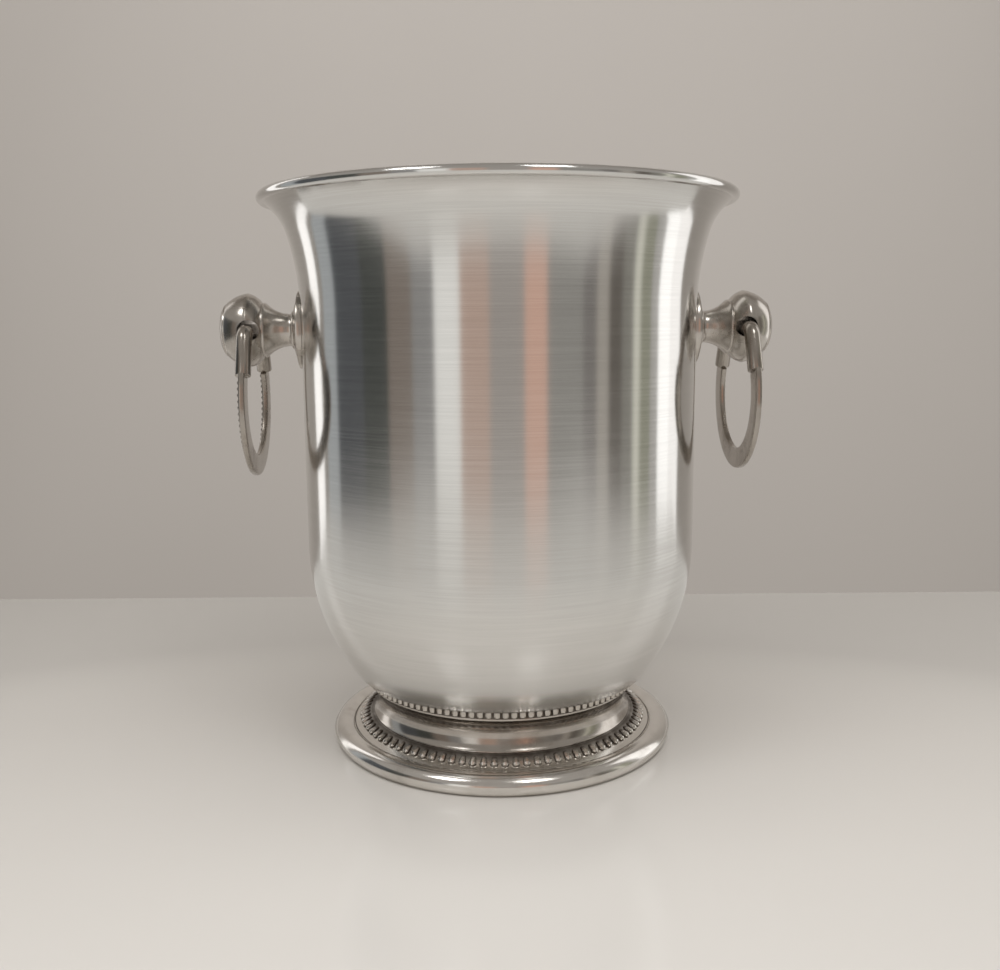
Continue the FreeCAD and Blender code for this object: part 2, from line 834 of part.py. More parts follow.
def make_ring_loop(doc, side, turn):
    """Flat band round the lower part of the ring, with a row of beads on its outward face."""
    body = new_body(doc, side + "_ring_loop")
    ring = ring_radius()
    low = -(ring + size("ring_width") * 0.5)
    high = -(ring - size("ring_width") * 0.5)
    half = size("ring_thickness") * 0.5
    edge = size("ring_edge")
    outline = Outline(-half + edge, low).line(half - edge, low).arc(half, low + edge, edge, "left")
    outline.line(half, high - edge).arc(half - edge, high, edge, "left").line(-half + edge, high)
    outline.arc(-half, high - edge, edge, "left").line(-half, low + edge)
    outline.close_with_arc(edge, "left")
    sketch = new_sketch(body, "Band_" + side, "XZ_Plane")
    outline.draw(sketch)
    half_band = size("ring_joint_angle") + HALF_TURN * 0.5
    spin(body, sketch, "H_Axis", half_band * 2.0)
    bead = size("ring_bead_radius")
    centre = half - size("seat_gap")
    shape = Outline(centre, -ring - bead).line(centre, -ring + bead)
    shape.arc(centre + bead, -ring, bead, "right").close_with_arc(bead, "right")
    bead_sketch = new_sketch(body, "RingBead_" + side, "XZ_Plane")
    shape.draw(bead_sketch)
    pitch = turn_for(size("ring_bead_pitch"), ring)
    each_side = whole_count(half_band - turn_for(size("ring_bead_margin"), ring), pitch)
    span = each_side * pitch * 2.0
    tilt = span * -0.5
    bead_sketch.AttachmentOffset = FreeCAD.Placement(
        FreeCAD.Vector(), FreeCAD.Rotation(FreeCAD.Vector(1, 0, 0), tilt.value))
    bead_sketch.setExpression("AttachmentOffset.Rotation.Angle", tilt.formula)
    repeat_round(body, spin(body, bead_sketch, "Edge1"), "H_Axis", each_side * 2.0 + 1.0, span)
    place_ring(body, turn)


def make_handle(doc, side, turn):
    make_wall_plate(doc, side, turn)
    make_handle_post(doc, side, turn)
    make_bent_washer(doc, side + "_wall_seal", turn, size("seal_disc_radius"), seal_face(), size("seal_disc"))
    make_bent_washer(doc, side + "_inner_washer", turn, size("washer_disc_radius"), washer_face(),
                     size("washer_disc"))
    make_handle_screw(doc, side, turn)
    make_pivot_bar(doc, side, turn)
    make_ring_loop(doc, side, turn)


def check_and_write(doc):
    """Stops if any feature failed or any piece isn't a sound solid, and then writes each piece."""
    doc.recompute()
    for feature in doc.Objects:
        if "Invalid" in feature.State or "Error" in feature.State:
            raise RuntimeError("failed feature: " + feature.Name)
    bodies = [thing for thing in doc.Objects if thing.TypeId == "PartDesign::Body"]
    for body in bodies:
        shape = body.Shape
        if shape.isNull() or not shape.isValid() or len(shape.Solids) != 1:
            raise RuntimeError("unsound piece: %s, %d solids" % (body.Label, len(shape.Solids)))
    os.makedirs("parts", exist_ok=True)
    for body in bodies:
        body.Shape.exportStep("parts/%s.step" % body.Label)
        box = body.Shape.optimalBoundingBox()
        print("%-22s %10.1f mm3  x %7.2f %7.2f  y %7.2f %7.2f  z %7.2f %7.2f" % (
            body.Label, body.Shape.Volume, box.XMin, box.XMax, box.YMin, box.YMax, box.ZMin, box.ZMax))


def main():
    doc = FreeCAD.newDocument("champagne_bucket")
    make_sheet(doc)
    make_bowl(doc)
    make_base_stud(doc)
    make_upper_bead_ring(doc)
    make_foot_collar(doc)
    make_lower_bead_ring(doc)
    make_foot_flange(doc)
    make_clamp_plate(doc)
    make_washer_and_nut(doc)
    for side, turn in (("right", 0.0), ("left", 180.0)):
        make_handle(doc, side, turn)
    check_and_write(doc)


main()
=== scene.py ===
"""Table-top champagne bucket: a brushed bowl on a beaded, polished foot, with a ring handle on each side."""

import logging
import math
from dataclasses import dataclass, field
from enum import Enum
from typing import Callable, Iterable, Optional, Sequence, Union

import bmesh
import bpy
from mathutils import Matrix, Vector

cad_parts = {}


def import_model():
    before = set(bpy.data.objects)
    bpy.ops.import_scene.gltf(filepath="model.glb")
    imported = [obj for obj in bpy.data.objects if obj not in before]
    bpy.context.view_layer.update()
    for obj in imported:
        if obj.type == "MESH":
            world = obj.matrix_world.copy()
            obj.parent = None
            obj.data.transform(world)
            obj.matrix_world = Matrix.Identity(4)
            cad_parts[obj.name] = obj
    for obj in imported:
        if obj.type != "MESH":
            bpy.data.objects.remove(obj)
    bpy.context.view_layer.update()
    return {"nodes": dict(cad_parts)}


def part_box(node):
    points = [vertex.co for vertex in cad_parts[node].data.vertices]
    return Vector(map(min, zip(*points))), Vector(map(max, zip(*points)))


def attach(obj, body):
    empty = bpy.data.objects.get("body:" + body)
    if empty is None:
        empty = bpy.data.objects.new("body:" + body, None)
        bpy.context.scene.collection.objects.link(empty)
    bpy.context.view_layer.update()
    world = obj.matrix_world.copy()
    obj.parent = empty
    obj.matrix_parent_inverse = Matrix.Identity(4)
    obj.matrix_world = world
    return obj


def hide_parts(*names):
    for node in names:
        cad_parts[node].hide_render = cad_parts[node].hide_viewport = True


log = logging.getLogger("champagne_bucket")

MM = 0.001
FULL_TURN = 2.0 * math.pi
SHARP_ANGLE = math.radians(32.0)
MERGE_DISTANCE = 0.000002
THIN_EDGE = 0.0000005
FILM_WIDTH = 36.0

Mesh = bmesh.types.BMesh
Vert = bmesh.types.BMVert
Edge = bmesh.types.BMEdge
Material = bpy.types.Material
Number = Union[float, "Wire"]
Colour = tuple[float, float, float]


class Turn(Enum):
    """Which way an arc bends, seen along the way it runs."""

    LEFT = -1.0
    RIGHT = 1.0


class Axis(Enum):
    """The line that a turned piece is spun about."""

    UPRIGHT = (0.0, 0.0, 1.0)
    OUTWARD = (1.0, 0.0, 0.0)


class Side(Enum):
    """The two sides that carry a handle, as a turn about the bucket's axis."""

    RIGHT = 0.0
    LEFT = math.pi

    @property
    def label(self) -> str:
        """The side's name as the pieces carry it."""
        return self.name.lower()


# Materials


class Wire:
    """A shader socket that takes part in sums as a number does."""

    def __init__(self, graph: "Graph", socket: bpy.types.NodeSocket) -> None:
        """Keeps the graph, so that a sum can add its own node to it."""
        self.graph = graph
        self.socket = socket

    def _math(self, operation: str, *values: Number) -> "Wire":
        """Adds one Math node.

        Args:
            operation: the Math node's operation.
            values: its inputs, in order.

        Returns:
            The node's result.
        """
        return self.graph.add("ShaderNodeMath", {"operation": operation}, dict(enumerate(values)))

    def __add__(self, other: Number) -> "Wire":
        """This plus other."""
        return self._math("ADD", self, other)

    def __sub__(self, other: Number) -> "Wire":
        """This less other."""
        return self._math("SUBTRACT", self, other)

    def __rsub__(self, other: Number) -> "Wire":
        """Other less this."""
        return self._math("SUBTRACT", other, self)

    def __mul__(self, other: Number) -> "Wire":
        """This times other."""
        return self._math("MULTIPLY", self, other)

    def __truediv__(self, other: Number) -> "Wire":
        """This divided by other."""
        return self._math("DIVIDE", self, other)

    def bearing(self, ahead: "Wire") -> "Wire":
        """The angle in degrees, off straight ahead, of a point this far to the side and that far ahead."""
        return self._math("ARCTAN2", self, ahead) * (180.0 / math.pi)

    def step(self, low: float, high: float) -> "Wire":
        """A smooth rise from 0 at low to 1 at high; high may be the lower number."""
        settings = {"interpolation_type": "SMOOTHSTEP", "clamp": True}
        return self.graph.add("ShaderNodeMapRange", settings, {0: self, 1: low, 2: high, 3: 0.0, 4: 1.0})


class Graph:
    """The node tree of a material or of the world, with one way to add a node."""

    def __init__(self, tree: bpy.types.NodeTree) -> None:
        """Starts from an empty tree."""
        self.tree = tree
        tree.nodes.clear()

    def add(
        self,
        kind: str,
        settings: Optional[dict] = None,
        sockets: Optional[dict] = None,
        output: Union[int, str] = 0,
    ) -> Wire:
        """Adds a node, sets it up and joins its inputs.

        Args:
            kind: the node's type.
            settings: its properties; "stops" are a ramp's (place, colour) pairs.
            sockets: its inputs by number or name, each a value or a Wire.
            output: the output that the result stands for.

        Returns:
            The chosen output.
        """
        node = self.tree.nodes.new(kind)
        for name, value in (settings or {}).items():
            if name == "stops":
                self._set_stops(node.color_ramp, value)
            else:
                setattr(node, name, value)
        for name, value in (sockets or {}).items():
            if isinstance(value, Wire):
                self.tree.links.new(value.socket, node.inputs[name])
            else:
                node.inputs[name].default_value = value
        return Wire(self, node.outputs[output]) if node.outputs else Wire(self, node.inputs[0])

    @staticmethod
    def _set_stops(ramp: bpy.types.ColorRamp, stops: Sequence[tuple[float, Colour]]) -> None:
        """Gives a ramp its stops, in order."""
        while len(ramp.elements) < len(stops):
            ramp.elements.new(1.0)
        for element, (place, colour) in zip(ramp.elements, stops):
            element.position = place
            element.color = (*colour, 1.0)

    def place(self) -> Wire:
        """The point on the piece, in metres."""
        return self.add("ShaderNodeTexCoord", output="Object")

    def parts(self, vector: Wire) -> tuple[Wire, Wire, Wire]:
        """A vector's three numbers."""
        split = self.add("ShaderNodeSeparateXYZ", sockets={0: vector})
        outputs = split.socket.node.outputs
        return Wire(self, outputs[0]), Wire(self, outputs[1]), Wire(self, outputs[2])

    def vector(self, x: Number, y: Number, z: Number) -> Wire:
        """A vector made of three numbers."""
        return self.add("ShaderNodeCombineXYZ", sockets={0: x, 1: y, 2: z})

    def stored(self, name: str) -> Wire:
        """A number stored on the piece's points."""
        return self.add("ShaderNodeAttribute", {"attribute_name": name}, output="Fac")

    def noise(self, vector: Wire, scale: float, detail: float = 3.0, roughness: float = 0.55) -> Wire:
        """Plain noise from 0 to 1."""
        sockets = {"Vector": vector, "Scale": scale, "Detail": detail, "Roughness": roughness}
        return self.add("ShaderNodeTexNoise", {"noise_dimensions": "3D"}, sockets, "Fac")

    def mix(self, factor: Number, first: Union[Colour, Wire], second: Union[Colour, Wire]) -> Wire:
        """A colour between two others."""
        sockets = {0: factor, 6: self._full(first), 7: self._full(second)}
        return self.add("ShaderNodeMix", {"data_type": "RGBA"}, sockets, 2)

    @staticmethod
    def _full(colour: Union[Colour, Wire]) -> object:
        """A colour with its fourth number, or the wire as it is."""
        return colour if isinstance(colour, Wire) else (*colour, 1.0)

    def bump(self, height: Wire, strength: float, depth: float) -> Wire:
        """A surface direction from a height; depth is in metres."""
        sockets = {"Strength": strength, "Distance": depth, "Height": height}
        return self.add("ShaderNodeBump", sockets=sockets)

    def finish(self, shader: Wire, kind: str = "ShaderNodeOutputMaterial") -> None:
        """Joins a shader to the tree's output."""
        self.add(kind, sockets={"Surface": shader})

    def principled(self, sockets: dict) -> None:
        """Ends a material with one Principled shader, given its inputs."""
        self.finish(self.add("ShaderNodeBsdfPrincipled", sockets=sockets))


def new_material(name: str) -> tuple[Material, Graph]:
    """A material with an empty graph."""
    material = bpy.data.materials.new(name)
    material.use_nodes = True
    return material, Graph(material.node_tree)


@dataclass(frozen=True)
class BrushedSteel:
    """Steel brushed round and round: its scratches follow the turning, so lights smear along the profile."""

    name: str = "brushed_steel"
    colour: Colour = (0.745, 0.735, 0.715)
    streak_colour: Colour = (0.68, 0.67, 0.65)
    roughness: float = 0.165
    smear: float = 0.88
    lines_per_metre: float = 2600.0
    length_scale: float = 26.0

    def build(self) -> Material:
        """Makes the material; it reads "along", the way travelled on the profile, from the piece."""
        material, graph = new_material(self.name)
        x, y, _ = graph.parts(graph.place())
        along = graph.stored("along")
        stretch = self.length_scale
        fine = graph.noise(graph.vector(x * stretch, y * stretch, along * self.lines_per_metre), 1.0, 2.0)
        broad = graph.noise(graph.vector(x * 9.0, y * 9.0, along * 420.0), 1.0, 3.0)
        handled = graph.noise(graph.place(), 21.0, 4.0, 0.62)
        grain = fine * 0.7 + broad * 0.3
        sockets = {
            "Base Color": graph.mix(grain.step(0.3, 0.7), self.streak_colour, self.colour),
            "Metallic": 1.0,
            "Roughness": grain * 0.1 + handled * 0.05 + (self.roughness - 0.075),
            "Anisotropic": self.smear,
            "Anisotropic Rotation": 0.25,
            "Normal": graph.bump(grain, 0.10, 0.00004),
        }
        graph.principled(sockets)
        return material


@dataclass(frozen=True)
class PolishedMetal:
    """Polished metal with faint wiping marks, small pits and a little dulling from hands."""

    name: str
    colour: Colour = (0.70, 0.68, 0.645)
    dull_colour: Colour = (0.58, 0.555, 0.515)
    roughness: float = 0.13
    wear: float = 0.10
    pits: float = 0.12

    def build(self) -> Material:
        """Makes the material."""
        material, graph = new_material(self.name)
        place = graph.place()
        cloud = graph.noise(place, 55.0, 5.0, 0.6)
        marks = graph.noise(place, 900.0, 3.0, 0.6)
        dull = cloud.step(0.45, 0.75)
        sockets = {
            "Base Color": graph.mix(dull, self.colour, self.dull_colour),
            "Metallic": 1.0,
            "Roughness": dull * self.wear + marks * 0.05 + self.roughness,
            "Normal": graph.bump(marks, self.pits, 0.00005),
        }
        graph.principled(sockets)
        return material


@dataclass(frozen=True)
class BeadedSilver:
    """Polished beads that the piece's stored mask darkens: patina and painted shade in the grooves between
    them, painted shade on the beads' inner halves.
    """

    name: str = "beaded_silver"
    colour: Colour = (0.76, 0.73, 0.685)
    # Near-black colour of the patina and painted shade.
    tarnish: Colour = (0.072, 0.054, 0.040)
    roughness: float = 0.17
    tarnish_roughness: float = 0.42

    def build(self) -> Material:
        """Makes the material; it reads the stored mask of patina and painted shade from the piece."""
        material, graph = new_material(self.name)
        place = graph.place()
        patch = graph.noise(place, 160.0, 4.0, 0.6)
        # Painted shade and patina: the stored mask, broken up by noise, pulls the colour towards near black.
        patina_and_shade = (graph.stored("patina_and_shade") * 1.25 + patch * 0.5 - 0.25).step(0.25, 0.95)
        fine = graph.noise(place, 1400.0, 2.0)
        sockets = {
            "Base Color": graph.mix(patina_and_shade, self.colour, self.tarnish),
            "Metallic": 1.0 - patina_and_shade * 0.35,
            "Roughness": patina_and_shade * (self.tarnish_roughness - self.roughness) + fine * 0.05 + self.roughness,
            "Normal": graph.bump(fine, 0.12, 0.00004),
        }
        graph.principled(sockets)
        return material


@dataclass(frozen=True)
class PlainSteel:
    """Turned and pressed steel of the hidden fixings: even, greyer and rougher than the polished parts."""

    name: str = "fixing_steel"
    colour: Colour = (0.50, 0.50, 0.49)
    stain: Colour = (0.33, 0.31, 0.28)

    def build(self) -> Material:
        """Makes the material."""
        material, graph = new_material(self.name)
        place = graph.place()
        _, _, z = graph.parts(place)
        rings = graph.noise(graph.vector(z * 900.0, z * 300.0, z * 500.0), 1.0, 2.0)
        blotch = graph.noise(place, 90.0, 5.0, 0.6).step(0.5, 0.8)
        sockets = {
            "Base Color": graph.mix(blotch, self.colour, self.stain),
            "Metallic": 1.0,
            "Roughness": blotch * 0.15 + rings * 0.08 + 0.3,
            "Normal": graph.bump(rings, 0.1, 0.00005),
        }
        graph.principled(sockets)
        return material


@dataclass(frozen=True)
class SealRubber:
    """Dark rubber of the washers that keep the screw holes tight."""

    name: str = "seal_rubber"
    colour: Colour = (0.022, 0.022, 0.023)
    dust: Colour = (0.06, 0.058, 0.055)

    def build(self) -> Material:
        """Makes the material."""
        material, graph = new_material(self.name)
        cloud = graph.noise(graph.place(), 400.0, 4.0)
        sockets = {
            "Base Color": graph.mix(cloud.step(0.45, 0.8), self.colour, self.dust),
            "Roughness": cloud * 0.2 + 0.5,
            "Normal": graph.bump(cloud, 0.2, 0.0001),
        }
        graph.principled(sockets)
        return material


# Mesh making


class Lathe:
    """Draws an outline, in mm, with a point that travels in the upright plane through X, then spins it."""

    def __init__(self, across: float, up: float) -> None:
        """Puts the point at the outline's first corner."""
        self.mesh = bmesh.new()
        self.layer = self.mesh.verts.layers.float.new("along")
        self.first = (across, up)
        self.tip = bmesh.ops.create_vert(self.mesh, co=(across * MM, 0.0, up * MM))["vert"][0]
        self.travelled = 0.0

    def _advance(self, fresh: Vert) -> None:
        """Moves on to a new point and stores the way travelled to it."""
        self.travelled += (fresh.co - self.tip.co).length
        fresh[self.layer] = self.travelled
        self.tip = fresh

    def line(self, across: float, up: float, parts: int = 1) -> "Lathe":
        """Draws a straight stretch to a point, in equal parts."""
        step = (Vector((across * MM, 0.0, up * MM)) - self.tip.co) / parts
        for _ in range(parts):
            goal = self.tip.co + step
            fresh = bmesh.ops.extrude_vert_indiv(self.mesh, verts=[self.tip])["verts"][0]
            fresh.co = goal
            self._advance(fresh)
        return self

    def arc(self, across: float, up: float, radius: float, turn: Turn, parts: int = 8) -> "Lathe":
        """Draws a round stretch to a point, in equal parts."""
        begin = self.tip.co.copy()
        finish = Vector((across * MM, 0.0, up * MM))
        half = (finish - begin) / 2.0
        reach = math.sqrt(max((radius * MM) ** 2 - half.length_squared, 0.0))
        inward = Vector((-half.z, 0.0, half.x)).normalized() * -turn.value
        centre = begin + half + inward * reach
        angle = 2.0 * math.asin(min(half.length / (radius * MM), 1.0))
        for _ in range(parts):
            made = bmesh.ops.spin(self.mesh, geom=[self.tip], cent=centre, axis=(0.0, turn.value, 0.0),
                                  angle=angle / parts, steps=1)
            self._advance(only(made["geom_last"], Vert)[0])
        return self

    def close(self, parts: int = 1) -> "Lathe":
        """Draws a straight stretch back to the first corner."""
        return self.line(*self.first, parts)

    def spin(self, axis: Axis, steps: int, bevel: float = 0.0) -> Mesh:
        """Spins the outline all round.

        Args:
            axis: the line it is spun about.
            steps: how many parts the full turn has.
            bevel: the width in mm of the small bevel on sharp edges.

        Returns:
            The closed piece, facing outwards.
        """
        outline = [*self.mesh.verts, *self.mesh.edges]
        bmesh.ops.spin(self.mesh, geom=outline, cent=(0.0, 0.0, 0.0), axis=axis.value, angle=FULL_TURN,
                       steps=steps, use_merge=True)
        tidy(self.mesh)
        if bevel:
            soften(self.mesh, bevel)
        return self.mesh


def tidy(mesh: Mesh) -> None:
    """Merges doubled points and turns every face outwards."""
    bmesh.ops.remove_doubles(mesh, verts=mesh.verts, dist=MERGE_DISTANCE)
    bmesh.ops.dissolve_degenerate(mesh, dist=THIN_EDGE, edges=mesh.edges)
    bmesh.ops.recalc_face_normals(mesh, faces=mesh.faces)


def sharp_edges(mesh: Mesh) -> list[Edge]:
    """The edges between two faces that meet at a sharp angle."""
    return [edge for edge in mesh.edges if edge.is_manifold and edge.calc_face_angle(0.0) > SHARP_ANGLE]


def smooth(mesh: Mesh) -> None:
    """Shades the faces smoothly, with a crease at each sharp edge."""
    for face in mesh.faces:
        face.smooth = True
    for edge in sharp_edges(mesh):
        edge.smooth = False


def shift(mesh: Mesh, way: Sequence[float]) -> None:
    """Moves a whole mesh, in metres."""
    bmesh.ops.translate(mesh, verts=mesh.verts, vec=way)


def rotate(mesh: Mesh, angle: float, axis: str) -> None:
    """Turns a whole mesh about an axis through the origin."""
    bmesh.ops.rotate(mesh, verts=mesh.verts, matrix=Matrix.Rotation(angle, 3, axis))


def only(items: Iterable, kind: type) -> list:
    """The items of one kind, such as the points that an operator made."""
    return [item for item in items if isinstance(item, kind)]


def new_object(name: str, data: bpy.types.ID) -> bpy.types.Object:
    """An object made of its data, in the scene."""
    thing = bpy.data.objects.new(name, data)
    bpy.context.scene.collection.objects.link(thing)
    return thing


def make_object(name: str, mesh: Mesh, material: Material) -> bpy.types.Object:
    """Puts a mesh in the scene as a smoothly shaded object, and frees the mesh."""
    smooth(mesh)
    data = bpy.data.meshes.new(name)
    mesh.to_mesh(data)
    mesh.free()
    data.materials.append(material)
    return new_object(name, data)


def soften(mesh: Mesh, width: float) -> None:
    """Bevels the sharp edges by a width in mm."""
    bmesh.ops.bevel(mesh, geom=sharp_edges(mesh), offset=width * MM, offset_type="OFFSET", segments=2,
                    profile=0.5, affect="EDGES", material=-1, clamp_overlap=True)
    bmesh.ops.recalc_face_normals(mesh, faces=mesh.faces)


def merge(into: Mesh, other: Mesh) -> None:
    """Adds one mesh's faces to another and frees it."""
    carrier = bpy.data.meshes.new("carrier")
    other.to_mesh(carrier)
    other.free()
    into.from_mesh(carrier)
    bpy.data.meshes.remove(carrier)


def store(mesh: Mesh, name: str, rule: Callable[[Vector], float]) -> None:
    """Stores a number on every point, worked out from its place in mm."""
    layer = mesh.verts.layers.float.get(name) or mesh.verts.layers.float.new(name)
    for vert in mesh.verts:
        vert[layer] = min(max(rule(vert.co / MM), 0.0), 1.0)


def ramp(value: float, low: float, high: float) -> float:
    """A smooth rise from 0 at low to 1 at high."""
    share = min(max((value - low) / (high - low), 0.0), 1.0)
    return share * share * (3.0 - 2.0 * share)


@dataclass
class Piece:
    """A finished piece: its mesh, the nodes it stands for, its body, its slot and its material."""

    name: str
    mesh: Mesh
    nodes: Sequence[str]
    body: str
    slot: str
    material: Material

    def show(self) -> bpy.types.Object:
        """Makes the object and hands it to the frame.

        Returns:
            The object, at the origin, unturned and unscaled.
        """
        thing = make_object(self.name, self.mesh, self.material)
        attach(thing, self.body)
        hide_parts(*self.nodes)
        log.info("%s: %d faces, on %s", self.name, len(thing.data.polygons), self.body)
        return thing


def bead(radius: float, sides: int = 10, rings: int = 6) -> Mesh:
    """A small ball at the origin, with its poles on Z; the radius is in mm."""
    mesh = bmesh.new()
    bmesh.ops.create_uvsphere(mesh, u_segments=sides, v_segments=rings, radius=radius * MM)
    return mesh


def repeat(mesh: Mesh, axis: Axis, count: int, angle: float) -> None:
    """Repeats a mesh about an axis through the origin.

    Args:
        mesh: the mesh, which holds the first copy.
        axis: the line that the copies stand round.
        count: how many copies there are in the end.
        angle: the angle between neighbours.
    """
    geometry = [*mesh.verts, *mesh.edges, *mesh.faces]
    bmesh.ops.spin(mesh, geom=geometry, cent=(0.0, 0.0, 0.0), axis=axis.value, angle=angle * (count - 1),
                   steps=count - 1, use_duplicate=True)


# The bucket's parts


@dataclass
class Bowl:
    """Drawn steel bowl: flat floor, round belly, straight wall, flare and a rolled rim. Sizes are in mm."""

    finish: Material
    wall: float = 1.2
    body_radius: float = 83.8
    rim_bead: float = 2.0
    flare_height: float = 32.0
    flare_arc: float = 110.0
    lip_depth: float = 15.5
    belly_rise: float = 58.0
    floor_radius: float = 62.5
    floor_bend: float = 3.0
    outer_share: float = 0.45
    inner_share: float = 0.93
    steps: int = 288

    def lip_arc(self, begin: tuple[float, float], finish: tuple[float, float]) -> float:
        """The radius of the arc that leaves the flare smoothly at one point and ends at another."""
        across, up = finish[0] - begin[0], finish[1] - begin[1]
        slope = self.flare_height / self.flare_arc
        return (across ** 2 + up ** 2) / (2.0 * (across * math.sqrt(1.0 - slope ** 2) - up * slope))

    def build(self) -> None:
        """Draws the whole wall as one closed outline and spins it."""
        low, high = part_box("bowl")
        floor, top, rim = low.z / MM, high.z / MM, high.x / MM
        belly_top = floor + self.belly_rise
        flare_start = top - self.lip_depth - self.flare_height
        bulk = self.body_radius - self.floor_radius
        drop = self.belly_rise - self.floor_bend
        belly = (bulk ** 2 + drop ** 2 - self.floor_bend ** 2) / (2.0 * (bulk - self.floor_bend))
        centre = self.body_radius - belly
        slope = self.flare_height / self.flare_arc
        upright = math.sqrt(1.0 - slope ** 2)

        def belly_point(radius: float) -> tuple[float, float]:
            """Where the floor's bend meets an arc round the belly's middle."""
            share = radius / (belly - self.floor_bend)
            return centre + (self.floor_radius - centre) * share, belly_top - drop * share

        def flare_point(radius: float) -> tuple[float, float]:
            """The flare's upper end on an arc of that radius."""
            return self.body_radius + self.flare_arc - radius * upright, flare_start + radius * slope

        def bead_point(share: float) -> tuple[float, float]:
            """A point low on the rim's bead, a share of its radius inside its middle."""
            bead_radius = self.rim_bead
            return (rim - bead_radius - bead_radius * share,
                    top - bead_radius - bead_radius * math.sqrt(1.0 - share ** 2))

        outer = (flare_point(self.flare_arc), bead_point(self.outer_share))
        inner = (flare_point(self.flare_arc + self.wall), bead_point(self.inner_share))
        inside = self.body_radius - self.wall
        lathe = Lathe(0.0, floor).line(self.floor_radius, floor, 4)
        lathe.arc(*belly_point(belly), self.floor_bend, Turn.LEFT, 6)
        lathe.arc(self.body_radius, belly_top, belly, Turn.LEFT, 26)
        lathe.line(self.body_radius, flare_start, 3)
        lathe.arc(*outer[0], self.flare_arc, Turn.RIGHT, 14)
        lathe.arc(*outer[1], self.lip_arc(*outer), Turn.RIGHT, 14)
        lathe.arc(rim, top - self.rim_bead, self.rim_bead, Turn.LEFT, 6)
        lathe.arc(rim - self.rim_bead, top, self.rim_bead, Turn.LEFT, 5)
        lathe.arc(*inner[1], self.rim_bead, Turn.LEFT, 6)
        lathe.arc(*inner[0], self.lip_arc(*inner), Turn.LEFT, 14)
        lathe.arc(inside, flare_start, self.flare_arc + self.wall, Turn.LEFT, 14)
        lathe.line(inside, belly_top, 3)
        lathe.arc(*belly_point(belly - self.wall), belly - self.wall, Turn.RIGHT, 26)
        lathe.arc(self.floor_radius, floor + self.wall, self.floor_bend - self.wall, Turn.RIGHT, 6)
        lathe.line(0.0, floor + self.wall, 4)
        mesh = lathe.spin(Axis.UPRIGHT, self.steps)
        Piece("bowl_shell", mesh, ["bowl"], "root", "brushed_bowl", self.finish).show()


